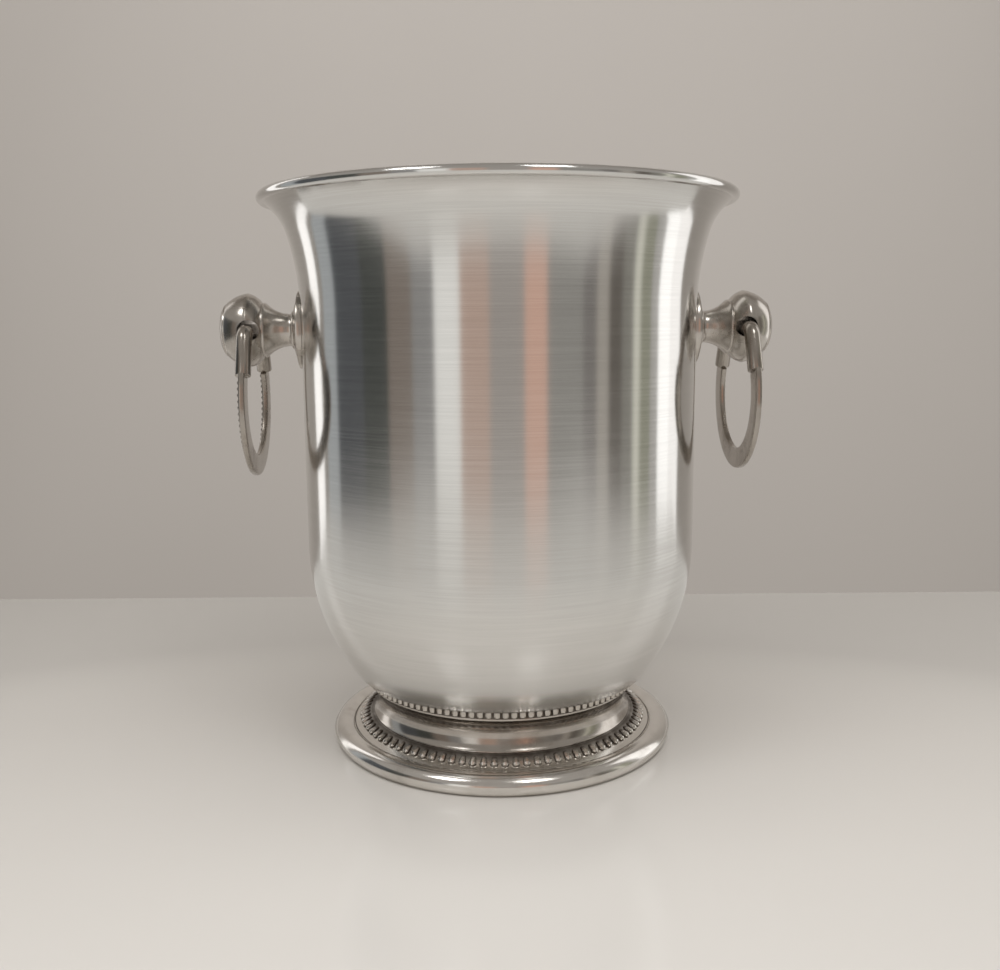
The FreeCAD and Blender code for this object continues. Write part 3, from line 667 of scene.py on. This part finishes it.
@dataclass
class Foot:
    """Beaded and polished foot under the bowl. Sizes are in mm."""

    upper_finish: Material
    lower_finish: Material
    cove_finish: Material
    base_finish: Material
    upper_bore: float = 49.0
    upper_radius: float = 59.4
    upper_beads: int = 110
    upper_bead: float = 1.5
    collar_lip: float = 59.0
    collar_neck: float = 58.3
    collar_toe: float = 57.56
    collar_bore: float = 46.0
    collar_wall: float = 1.4
    collar_shoulder: float = 52.8
    collar_lip_depth: float = 1.0
    toe_inside: float = 55.6
    toe_height: float = 0.7
    cove_depth: float = 2.93
    lower_bore: float = 52.0
    lower_inner: float = 58.4
    lower_edge: float = 1.6
    lower_beads: int = 90
    lower_bead: float = 1.75
    lower_tip: float = 1.1
    lower_length: float = 5.0
    web: float = 1.8
    base_bore: float = 57.0
    base_pocket: float = 62.25
    base_tuck: float = 1.8
    nose_height: float = 4.4
    nose_arc: float = 7.0
    shoulder_arc: float = 5.9
    crest_radius: float = 69.6
    crest_height: float = 8.2
    crest_arc: float = 4.4
    gap: float = 0.25
    steps: int = 240

    def build(self) -> None:
        """Makes the two bead rings, the collar and the base ring."""
        self.upper_ring()
        self.collar()
        self.lower_ring()
        self.base_ring()

    def upper_ring(self) -> None:
        """Flat ring under the bowl with upright beads round its edge."""
        low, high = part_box("upper_bead_ring")
        under, top = low.z / MM, high.z / MM
        radius, size = self.upper_radius, self.upper_bead
        lathe = Lathe(self.upper_bore, under).line(radius, under).line(radius, top)
        mesh = lathe.line(self.upper_bore, top).close().spin(Axis.UPRIGHT, self.steps)
        row = bead(size)
        stretch = (top - under) / 2.0 - size - 0.05
        for vert in row.verts:
            vert.co.z += math.copysign(stretch * MM, vert.co.z) if abs(vert.co.z) > MM * 0.01 else 0.0
        shift(row, Vector((radius, 0.0, (under + top) / 2.0)) * MM)
        repeat(row, Axis.UPRIGHT, self.upper_beads, FULL_TURN / self.upper_beads)
        merge(mesh, row)
        # Painted shade and patina: the flat ring and the inner halves of the beads are stored dark, fading
        # out before the beads' outer tips.
        start, end, darkest = radius - 0.3, radius + size * 0.8, 0.72
        store(mesh, "patina_and_shade", lambda at: darkest - darkest * ramp(math.hypot(at.x, at.y), start, end))
        Piece("upper_beads", mesh, ["upper_bead_ring"], "root", "beaded_silver", self.upper_finish).show()

    def collar(self) -> None:
        """Hollow waist between the two bead rings, with a thin lip above and a spread toe below."""
        low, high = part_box("foot_collar")
        seat, top = low.z / MM, high.z / MM
        wall = self.collar_wall
        shoulder = top - wall
        toe, neck = (self.collar_toe, seat + self.toe_height), (self.collar_neck, shoulder)
        chord = (neck[0] - toe[0]) ** 2 + (neck[1] - toe[1]) ** 2
        cove = chord / (8.0 * self.cove_depth) + self.cove_depth / 2.0
        lathe = Lathe(self.collar_bore, shoulder).line(self.collar_shoulder, shoulder)
        lathe.arc(self.toe_inside, seat, cove + wall, Turn.LEFT, 12).line(toe[0], seat).line(*toe)
        lathe.arc(*neck, cove, Turn.RIGHT, 20)
        lathe.line(self.collar_lip, top - self.collar_lip_depth).line(self.collar_lip, top)
        mesh = lathe.line(self.collar_bore, top).close().spin(Axis.UPRIGHT, self.steps, 0.18)
        Piece("collar_cove", mesh, ["foot_collar"], "root", "polished_foot", self.cove_finish).show()

    def lower_ring(self) -> None:
        """Sloping ring round the collar's toe with long beads that widen outwards."""
        low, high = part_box("lower_bead_ring")
        seat, outer = low.z / MM, high.x / MM
        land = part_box("foot_collar")[0].z / MM
        inner, edge = self.lower_inner, seat + self.lower_edge
        lathe = Lathe(self.lower_bore, seat).line(outer, seat).line(outer, edge).line(inner, land)
        mesh = lathe.line(self.lower_bore, land).close().spin(Axis.UPRIGHT, self.steps)
        slope = math.atan2(land - edge, outer - inner)
        row = bead(1.0, 10, 8)
        rotate(row, math.pi / 2.0, "Y")
        tip, large = self.lower_tip, self.lower_bead
        for vert in row.verts:
            lies = vert.co.x / MM
            thick, place = (tip, tip * (1.0 + lies)) if lies < 0.01 else (
                large, self.lower_length - large + large * lies)
            vert.co = Vector((place * MM, vert.co.y * thick, vert.co.z * thick))
        shift(row, (tip * MM, 0.0, 0.0))
        rotate(row, slope, "Y")
        shift(row, (inner * MM, 0.0, land * MM))
        repeat(row, Axis.UPRIGHT, self.lower_beads, FULL_TURN / self.lower_beads)
        merge(mesh, row)

        def depth(at: Vector) -> float:
            """How dark a point is made, from 0 to 1: near 1 low in the grooves between the beads, as patina
            and painted shade, and up to 0.62 on the inner half of each bead's top, as painted shade.
            """
            out = math.hypot(at.x, at.y) - inner
            above = (at.z - land) * math.cos(slope) + out * math.sin(slope)
            covered = ramp(out, -0.6, 0.4) * (1.0 - ramp(out, self.lower_length, self.lower_length + 1.6))
            gap = covered * (1.0 - ramp(above, 0.0, 0.55))
            # Painted shade: the inner half of each bead is darkened, so that only its outer end stays bright.
            return max(gap, 0.62 * ramp(out, -0.6, 0.4) * (1.0 - ramp(out, 2.2, 5.2)))

        store(mesh, "patina_and_shade", depth)
        Piece("lower_beads", mesh, ["lower_bead_ring"], "root", "beaded_silver", self.lower_finish).show()

    def base_ring(self) -> None:
        """Heavy ring that the bucket stands on, with a rounded nose and a low crest."""
        _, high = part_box("foot_flange")
        nose = high.x / MM
        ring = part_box("lower_bead_ring")[1].x / MM + self.gap
        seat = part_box("lower_bead_ring")[0].z / MM
        lathe = Lathe(self.base_pocket, 0.0).line(nose - self.base_tuck, 0.0)
        lathe.arc(nose, self.nose_height, self.nose_arc, Turn.LEFT, 8)
        lathe.arc(self.crest_radius, self.crest_height, self.shoulder_arc, Turn.LEFT, 14)
        lathe.arc(ring, seat + self.lower_edge, self.crest_arc, Turn.LEFT, 8)
        lathe.line(ring, seat).line(self.base_bore, seat)
        lathe.line(self.base_bore, seat - self.web).line(self.base_pocket, seat - self.web)
        mesh = lathe.close().spin(Axis.UPRIGHT, self.steps, 0.2)
        Piece("base_ring", mesh, ["foot_flange"], "root", "polished_foot", self.base_finish).show()


@dataclass
class Handle:
    """Wall plate, turned post and ring handle of one side. Sizes are in mm, out from the bucket's axis."""

    side: Side
    post_finish: Material
    # The swinging bar and ring get a darker copy of the polished metal: painted shade.
    shaded_ring_finish: Material
    body_radius: float = 83.8
    flare_start: float = 187.0
    flare_arc: float = 110.0
    plate_radius: float = 16.5
    plate_front: float = 86.4
    plate_edge: float = 84.9
    plate_step: float = 11.0
    plate_bore: float = 2.75
    plate_arc: float = 24.8
    ridge: float = 1.6
    ridge_root: float = 7.6
    ridge_rise: float = 0.56
    neck: float = 6.8
    neck_end: float = 89.6
    trumpet_end: float = 98.6
    trumpet: float = 11.2
    trumpet_arc: float = 14.0
    seam: float = 1.6
    seam_rise: float = 0.35
    knob_middle: float = 106.0
    knob: float = 15.5
    knob_arc: float = 9.6
    knob_end: float = 115.0
    button: float = 10.8
    button_step: float = 0.5
    button_inset: float = 3.0
    button_edge: float = 1.5
    hole_place: float = 104.6
    hole: float = 4.3
    bar: float = 3.25
    bend: float = 5.5
    ring: float = 28.5
    ring_width: float = 8.8
    ring_thickness: float = 2.5
    ring_edge: float = 0.7
    joint_angle: float = math.radians(22.8)
    beads: int = 43
    bead_size: float = 1.2
    bead_pitch: float = 2.54

    def build(self) -> None:
        """Makes the side's four visible pieces."""
        self.plate()
        self.post()
        self.pivot_bar()
        self.ring_loop()

    def finish_piece(self, name: str, mesh: Mesh, node: str, moving: bool) -> bpy.types.Object:
        """Turns a piece drawn on the right to its own side, and shows it.

        Args:
            name: the piece's name without its side.
            mesh: the piece, in place for the right side.
            node: the node that it stands for, without its side.
            moving: whether it swings with the ring.

        Returns:
            The shown object.
        """
        rotate(mesh, self.side.value, "Z")
        side = self.side.label
        body, finish = (f"{side}_ring", self.shaded_ring_finish) if moving else ("root", self.post_finish)
        return Piece(f"{side}_{name}", mesh, [f"{side}_{node}"], body, "handle_metal", finish).show()

    def height(self) -> float:
        """The height of the post's own axis."""
        low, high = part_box(f"{self.side.label}_handle_post")
        return (low.z + high.z) / 2.0 / MM

    def on_bowl(self, across: float, height: float) -> float:
        """How far out the bowl's outer face lies, at a distance to the side and a height."""
        rise = max(height - self.flare_start, 0.0)
        radius = self.body_radius + self.flare_arc - math.sqrt(self.flare_arc ** 2 - rise ** 2)
        return math.sqrt(radius ** 2 - across ** 2) + 0.03

    def plate(self) -> None:
        """Round cover plate whose back follows the bowl."""
        radius, back = self.plate_radius, self.body_radius - 3.0
        lathe = Lathe(back, self.plate_bore).line(self.plate_front, self.plate_bore)
        lathe.line(self.plate_front, self.plate_step, 2)
        lathe.arc(self.plate_edge, radius, self.plate_arc, Turn.RIGHT, 8)
        mesh = lathe.line(back, radius).line(back, self.plate_bore, 8).spin(Axis.OUTWARD, 96)
        shift(mesh, (0.0, 0.0, self.height() * MM))
        for vert in mesh.verts:
            if vert.co.x < self.body_radius * MM:
                vert.co.x = self.on_bowl(vert.co.y / MM, vert.co.z / MM) * MM
        soften(mesh, 0.2)
        self.finish_piece("cover_plate", mesh, "wall_plate", False)

    @staticmethod
    def arc_radius(width: float, rise: float) -> float:
        """The radius of an arc of that width that stands that high."""
        return width ** 2 / (8.0 * rise) + rise / 2.0

    def post(self) -> None:
        """Turned post: ridge, neck, trumpet, seam, domed knob and button, bored across for the ring's bar."""
        front, ridge, seam = self.plate_front, self.ridge, self.seam
        button_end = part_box("right_handle_post")[1].x / MM
        knob_start = self.trumpet_end + seam
        lathe = Lathe(front, 0.0).line(front, self.ridge_root, 2)
        lathe.arc(front + ridge, self.ridge_root, self.arc_radius(ridge, self.ridge_rise), Turn.RIGHT, 8)
        lathe.line(front + ridge, self.neck).line(self.neck_end, self.neck)
        lathe.arc(self.trumpet_end, self.trumpet, self.trumpet_arc, Turn.LEFT, 14)
        lathe.arc(knob_start, self.trumpet, self.arc_radius(seam, self.seam_rise), Turn.RIGHT, 6)
        lathe.arc(self.knob_middle, self.knob, self.knob_arc, Turn.RIGHT, 12)
        lathe.arc(self.knob_end, self.button + self.button_step, self.knob, Turn.RIGHT, 14)
        lathe.line(self.knob_end, self.button)
        lathe.line(button_end - self.button_edge, self.button)
        lathe.arc(button_end, self.button - self.button_inset, self.button, Turn.RIGHT, 5)
        lathe.line(button_end, 0.0, 3)
        mesh = lathe.spin(Axis.OUTWARD, 128, 0.12)
        shift(mesh, (0.0, 0.0, self.height() * MM))
        thing = self.finish_piece("turned_post", mesh, "handle_post", False)
        self.bore(thing)

    def bore(self, thing: bpy.types.Object) -> None:
        """Bores the hole for the ring's bar through the knob.

        Args:
            thing: the post.
        """
        drill = bmesh.new()
        bmesh.ops.create_cone(drill, cap_ends=True, segments=64, radius1=self.hole * MM,
                              radius2=self.hole * MM, depth=60.0 * MM)
        rotate(drill, math.pi / 2.0, "X")
        outward = math.cos(self.side.value)
        shift(drill, (outward * self.hole_place * MM, 0.0, self.height() * MM))
        data = bpy.data.meshes.new("drill")
        drill.to_mesh(data)
        drill.free()
        cutter = new_object("drill", data)
        cut = thing.modifiers.new("bore", "BOOLEAN")
        cut.operation, cut.solver, cut.object = "DIFFERENCE", "EXACT", cutter
        bpy.context.view_layer.update()
        graph = bpy.context.evaluated_depsgraph_get()
        bored = bpy.data.meshes.new_from_object(thing.evaluated_get(graph))
        thing.modifiers.remove(cut)
        mesh = bmesh.new()
        mesh.from_mesh(bored)
        for face in mesh.faces:
            face.material_index = 0
        smooth(mesh)
        mesh.to_mesh(thing.data)
        mesh.free()
        bpy.data.meshes.remove(bored)
        bpy.data.objects.remove(cutter)
        bpy.data.meshes.remove(data)

    def ring_centre(self) -> Vector:
        """The middle of the ring, in mm, for the right side."""
        low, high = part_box(f"{self.side.label}_pivot_bar")
        across = abs(low.x + high.x) / 2.0 / MM
        return Vector((across, 0.0, high.z / MM - self.bar - self.ring))

    def pivot_bar(self) -> None:
        """Round bar through the knob, bent down at both ends to meet the band."""
        angle = self.joint_angle
        half_turn = (1.0 - math.sin(angle)) / math.cos(angle)
        corner = self.ring * (math.cos(angle) - math.sin(angle) * half_turn)
        run = self.bend * half_turn
        mesh = bmesh.new()
        bmesh.ops.create_circle(mesh, cap_ends=False, segments=32, radius=self.bar * MM)
        rotate(mesh, math.pi / 2.0, "X")
        shift(mesh, (0.0, 0.0, self.ring * MM))
        loop = list(mesh.edges)
        loop = self.extrude(mesh, loop, Vector((0.0, (corner - run) * MM, 0.0)))
        made = bmesh.ops.spin(mesh, geom=[*loop, *{vert for edge in loop for vert in edge.verts}],
                              cent=(0.0, (corner - run) * MM, (self.ring - self.bend) * MM),
                              axis=(-1.0, 0.0, 0.0), angle=math.pi / 2.0 - angle, steps=14)
        loop = only(made["geom_last"], Edge)
        end = Vector((0.0, self.ring * math.cos(angle), self.ring * math.sin(angle)))
        start = Vector((0.0, corner + run * math.sin(angle), self.ring - run * math.cos(angle)))
        loop = self.extrude(mesh, loop, (end - start) * MM)
        bmesh.ops.contextual_create(mesh, geom=loop)
        bmesh.ops.mirror(mesh, geom=[*mesh.verts, *mesh.edges, *mesh.faces], axis="Y", merge_dist=0.00001)
        tidy(mesh)
        soften(mesh, 0.35)
        shift(mesh, self.ring_centre() * MM)
        self.finish_piece("bar", mesh, "pivot_bar", True)

    @staticmethod
    def extrude(mesh: Mesh, loop: Iterable[Edge], move: Vector) -> list:
        """Draws a loop of edges out by a move, in metres, and returns the new loop."""
        made = bmesh.ops.extrude_edge_only(mesh, edges=list(loop))["geom"]
        bmesh.ops.translate(mesh, verts=only(made, Vert), vec=move)
        return [edge for edge in only(made, Edge) if all(len(vert.link_edges) == 3 for vert in edge.verts)]

    def ring_loop(self) -> None:
        """Flat band round the lower part of the ring, with a row of beads on its outward face."""
        low = -(self.ring + self.ring_width / 2.0)
        high = low + self.ring_width
        half, edge = self.ring_thickness / 2.0, self.ring_edge
        lathe = Lathe(-half + edge, low).line(half - edge, low, 1)
        lathe.arc(half, low + edge, edge, Turn.LEFT, 4).line(half, high - edge, 4)
        lathe.arc(half - edge, high, edge, Turn.LEFT, 4).line(-half + edge, high, 1)
        lathe.arc(-half, high - edge, edge, Turn.LEFT, 4).line(-half, low + edge, 3)
        lathe.arc(*lathe.first, edge, Turn.LEFT, 4)
        mesh = lathe.mesh
        bmesh.ops.remove_doubles(mesh, verts=mesh.verts, dist=MERGE_DISTANCE)
        reach = self.joint_angle + math.pi / 2.0
        rotate(mesh, -reach, "X")
        begin = list(mesh.edges)
        made = bmesh.ops.spin(mesh, geom=[*mesh.verts, *mesh.edges], cent=(0.0, 0.0, 0.0),
                              axis=(1.0, 0.0, 0.0), angle=2.0 * reach, steps=110)
        finish = only(made["geom_last"], Edge)
        for loop in (begin, finish):
            bmesh.ops.contextual_create(mesh, geom=loop)
        tidy(mesh)
        row = bead(self.bead_size, 10, 6)
        rotate(row, math.pi / 2.0, "Y")
        shift(row, Vector((half - 0.05, 0.0, -self.ring)) * MM)
        pitch = self.bead_pitch / self.ring
        rotate(row, -pitch * (self.beads - 1) / 2.0, "X")
        repeat(row, Axis.OUTWARD, self.beads, pitch)
        merge(mesh, row)
        shift(mesh, self.ring_centre() * MM)
        self.finish_piece("beaded_band", mesh, "ring_loop", True)


def dress_fixings(steel: Material, rubber: Material, nodes: dict) -> None:
    """Gives the hidden fixings, which keep their own shapes, their materials.

    Args:
        steel: the finish of studs, nuts, screws and washers.
        rubber: the finish of the seals.
        nodes: the frame's nodes by name.
    """
    fixings = {name: steel for name in ("base_stud", "foot_clamp_plate", "foot_spring_washer", "foot_nut")}
    for side in Side:
        fixings[f"{side.label}_inner_washer"] = steel
        fixings[f"{side.label}_handle_screw"] = steel
        fixings[f"{side.label}_wall_seal"] = rubber
    for name, material in fixings.items():
        for slot in nodes[name].material_slots:
            slot.material = material
        log.info("%s: dressed in %s", name, material.name)


# The set


@dataclass(frozen=True)
class Panel:
    """An upright strip of the room in front of the table: where it ends and how light it is."""

    end: float
    shade: Colour


@dataclass
class Studio:
    """Pale glossy table, pale wall, soft lamps, and the room in front that the metal mirrors."""

    camera_turn: float = 3.1
    table_front: float = 0.66
    table_side: float = 0.61
    table_back: float = 0.229
    wall_place: float = 0.95
    room_radius: float = 1.5
    room_top: float = 0.8
    room_start: float = -116.0
    panels: Sequence[Panel] = field(default_factory=lambda: (
        Panel(-104.0, (0.40, 0.42, 0.43)),
        Panel(-82.0, (0.085, 0.090, 0.097)),
        Panel(-65.0, (0.062, 0.067, 0.062)),
        Panel(-50.0, (0.22, 0.185, 0.16)),
        Panel(-37.5, (0.27, 0.265, 0.26)),
        Panel(-23.5, (0.90, 0.89, 0.86)),
        Panel(-8.0, (0.52, 0.385, 0.32)),
        Panel(10.5, (0.37, 0.34, 0.315)),
        Panel(22.5, (0.66, 0.425, 0.335)),
        Panel(42.5, (0.29, 0.28, 0.26)),
        Panel(50.5, (0.20, 0.185, 0.175)),
        Panel(58.0, (0.40, 0.37, 0.33)),
        Panel(66.5, (0.13, 0.115, 0.10)),
        Panel(74.5, (0.24, 0.23, 0.205)),
        Panel(79.5, (0.72, 0.71, 0.62)),
        Panel(88.0, (0.30, 0.30, 0.235)),
    ))

    def show(self, name: str, mesh: Mesh, material: Material) -> bpy.types.Object:
        """Shows a thing that belongs to the set and not to the bucket."""
        thing = make_object(name, mesh, material)
        return thing

    def ahead(self) -> Vector:
        """The level direction that the camera faces."""
        turn = math.radians(self.camera_turn)
        return Vector((math.sin(turn), math.cos(turn), 0.0))

    def table(self) -> None:
        """Square-fronted table whose back edge lies level across the camera's view."""
        mesh = bmesh.new()
        bmesh.ops.create_grid(mesh, x_segments=1, y_segments=1, size=1.0)
        bmesh.ops.scale(mesh, verts=mesh.verts, vec=(self.table_side, self.table_front, 1.0))
        ahead = self.ahead()
        bmesh.ops.bisect_plane(mesh, geom=[*mesh.verts, *mesh.edges, *mesh.faces],
                               plane_co=ahead * self.table_back, plane_no=ahead, clear_outer=True)
        made = bmesh.ops.extrude_face_region(mesh, geom=list(mesh.faces))["geom"]
        down = only(made, Vert)
        bmesh.ops.translate(mesh, verts=down, vec=(0.0, 0.0, -0.02))
        bmesh.ops.recalc_face_normals(mesh, faces=mesh.faces)
        soften(mesh, 1.5)
        material, graph = new_material("pale_table")
        place = graph.place()
        cloud = graph.noise(place, 3.0, 3.0)
        _, y, _ = graph.parts(place)
        # Painted shade: the table's colour darkens from its front towards its back edge.
        shade = (y + cloud * 0.06).step(-0.45, 0.25)
        sockets = {
            "Base Color": graph.mix(shade, (0.76, 0.735, 0.70), (0.60, 0.575, 0.54)),
            "Roughness": cloud * 0.04 + 0.16,
            "IOR": 1.5,
        }
        plain = graph.add("ShaderNodeBsdfPrincipled", sockets=sockets)
        pale = graph.add("ShaderNodeEmission", sockets={"Color": (0.67, 0.65, 0.615, 1.0), "Strength": 1.0})
        distance = graph.add("ShaderNodeVectorMath", {"operation": "LENGTH"}, {0: place}, "Value")
        mirrored = graph.add("ShaderNodeLightPath", output="Is Glossy Ray") * distance.step(0.05, 0.34) * 0.8
        graph.finish(graph.add("ShaderNodeMixShader", sockets={0: mirrored, 1: plain, 2: pale}))
        self.show("table", mesh, material)

    def wall(self) -> None:
        """Plain wall behind the table, seen only from its front."""
        mesh = bmesh.new()
        bmesh.ops.create_grid(mesh, x_segments=2, y_segments=2, size=2.6)
        rotate(mesh, math.pi / 2.0, "X")
        rotate(mesh, -math.radians(self.camera_turn), "Z")
        shift(mesh, self.ahead() * self.wall_place + Vector((0.0, 0.0, 0.6)))
        material, graph = new_material("pale_wall")
        cloud = graph.noise(graph.place(), 1.4, 2.0)
        tone = graph.mix(cloud, (0.535, 0.50, 0.468), (0.59, 0.553, 0.52))
        paint = graph.add("ShaderNodeBsdfDiffuse", sockets={"Color": tone})
        back = graph.add("ShaderNodeNewGeometry", output="Backfacing")
        clear = graph.add("ShaderNodeBsdfTransparent")
        graph.finish(graph.add("ShaderNodeMixShader", sockets={0: back, 1: paint, 2: clear}))
        self.show("wall", mesh, material)

    def room(self) -> None:
        """Dim room in front of the table: a curved screen of upright strips that only the metal mirrors."""
        mesh = bmesh.new()
        corner = bmesh.ops.create_vert(mesh, co=(0.0, -self.room_radius, -1.2))["vert"][0]
        upper = bmesh.ops.extrude_vert_indiv(mesh, verts=[corner])["verts"][0]
        upper.co.z = self.room_top
        start = math.radians(self.room_start)
        rotate(mesh, start, "Z")
        reach = math.radians(self.panels[-1].end - self.room_start)
        bmesh.ops.spin(mesh, geom=[*mesh.verts, *mesh.edges], cent=(0.0, 0.0, 0.0), axis=(0.0, 0.0, 1.0),
                       angle=reach, steps=96)
        material, graph = new_material("dim_room")
        x, y, _ = graph.parts(graph.place())
        bearing = x.bearing(y * -1.0)
        span = self.panels[-1].end - self.room_start
        share = (bearing - self.room_start) / span
        stops = []
        begin = self.room_start
        for panel in self.panels:
            soft = min(1.2, (panel.end - begin) * 0.3)
            stops.append(((begin + soft - self.room_start) / span, panel.shade))
            stops.append(((panel.end - soft - self.room_start) / span, panel.shade))
            begin = panel.end
        strips = graph.add("ShaderNodeValToRGB", {"stops": stops}, {0: share})
        graph.finish(graph.add("ShaderNodeEmission", sockets={"Color": strips, "Strength": 1.0}))
        screen = self.show("room", mesh, material)
        screen.visible_camera = False
        screen.visible_diffuse = False
        screen.visible_shadow = False

    def world(self) -> None:
        """Even pale surroundings, a little darker overhead."""
        world = bpy.data.worlds.new("surroundings")
        bpy.context.scene.world = world
        world.use_nodes = True
        graph = Graph(world.node_tree)
        _, _, z = graph.parts(graph.add("ShaderNodeTexCoord", output="Generated"))
        tone = graph.mix(z.step(-0.1, 0.9), (0.62, 0.60, 0.57), (0.46, 0.43, 0.395))
        graph.finish(graph.add("ShaderNodeBackground", sockets={"Color": tone, "Strength": 0.75}),
                     "ShaderNodeOutputWorld")

    def lamp(self, name: str, place: Vector, aim: Vector, width: float, height: float, power: float,
             mirrored: bool) -> None:
        """A soft rectangular lamp that the camera doesn't see.

        Args:
            name: the lamp's name.
            place: its middle.
            aim: the point that it faces.
            width: its width in metres.
            height: its height in metres.
            power: its power in watts.
            mirrored: whether the metal mirrors it.
        """
        data = bpy.data.lights.new(name, "AREA")
        data.shape, data.size, data.size_y, data.energy = "RECTANGLE", width, height, power
        lamp = new_object(name, data)
        lamp.location = place
        lamp.rotation_mode = "QUATERNION"
        lamp.rotation_quaternion = (aim - place).to_track_quat("-Z", "Y")
        lamp.visible_camera = False
        lamp.visible_glossy = mirrored

    def camera(self, turn: float, distance: float, height: float, pitch: float, roll: float,
               lens: float) -> None:
        """The camera, which faces the bucket's axis.

        Args:
            turn: degrees round the bucket from the middle of its front towards its left.
            distance: the distance from the bucket's axis, in metres.
            height: its height, in metres.
            pitch: how far it looks down, in degrees.
            roll: how far it is tilted clockwise, in degrees.
            lens: its focal length in millimetres.
        """
        data = bpy.data.cameras.new("camera")
        data.lens = lens
        data.sensor_width = FILM_WIDTH
        data.clip_start = 0.01
        camera = new_object("camera", data)
        bearing = math.radians(turn)
        facing = (Matrix.Rotation(-bearing, 4, "Z") @ Matrix.Rotation(math.radians(90.0 - pitch), 4, "X")
                  @ Matrix.Rotation(math.radians(-roll), 4, "Z"))
        place = Vector((-distance * math.sin(bearing), -distance * math.cos(bearing), height))
        camera.matrix_world = Matrix.Translation(place) @ facing
        bpy.context.scene.camera = camera

    def build(self) -> None:
        """Sets up the whole set."""
        self.camera(self.camera_turn, 0.457, 0.1835, 9.0, 0.45, 37.75)
        self.table()
        self.wall()
        self.room()
        self.world()
        middle = Vector((0.0, 0.0, 0.12))
        low = Vector((0.0, 0.0, 0.05))
        self.lamp("overhead", Vector((0.0, -0.35, 1.5)), middle, 1.4, 1.0, 14.5, False)
        self.lamp("right_glint", Vector((0.30, -0.60, 1.10)), middle, 0.30, 0.30, 1.4, True)
        self.lamp("left_glint", Vector((-0.55, -0.42, 1.05)), middle, 0.30, 0.30, 1.4, True)
        self.lamp("left_side", Vector((-0.86, 0.60, 0.30)), low, 0.20, 1.3, 0.86, True)
        self.lamp("right_side", Vector((1.00, 0.27, 0.30)), low, 0.44, 1.3, 1.75, True)
        bpy.context.scene.view_settings.view_transform = "Standard"


def main() -> None:
    """Loads the frame, and builds the set and the bucket in order."""
    logging.basicConfig(level=logging.INFO, format="%(message)s")
    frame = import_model()
    Studio().build()
    Bowl(BrushedSteel().build()).build()
    Foot(
        # The upper bead ring gets a darker copy of the beaded silver than the lower one.
        upper_finish=BeadedSilver("upper_bead_silver", (0.56, 0.525, 0.48)).build(),
        lower_finish=BeadedSilver("lower_bead_silver").build(),
        # The cove gets a darker copy of the polished metal than the base ring.
        cove_finish=PolishedMetal(
            "cove_polish", (0.52, 0.485, 0.445), (0.36, 0.32, 0.28), 0.13, 0.10).build(),
        base_finish=PolishedMetal("base_polish", (0.76, 0.735, 0.70), (0.60, 0.57, 0.53), 0.12, 0.10).build(),
    ).build()
    post_finish = PolishedMetal("post_polish", (0.56, 0.525, 0.485), (0.36, 0.325, 0.285), 0.18, 0.12).build()
    # Painted shade: the bar and ring's metal is a darker copy of the post's.
    shaded_ring_finish = PolishedMetal("ring_polish_painted_shade", (0.43, 0.395, 0.355), (0.29, 0.255, 0.22), 0.18, 0.12).build()
    for side in Side:
        Handle(side, post_finish, shaded_ring_finish).build()
    dress_fixings(PlainSteel().build(), SealRubber().build(), frame["nodes"])


if __name__ == "__main__":
    main()
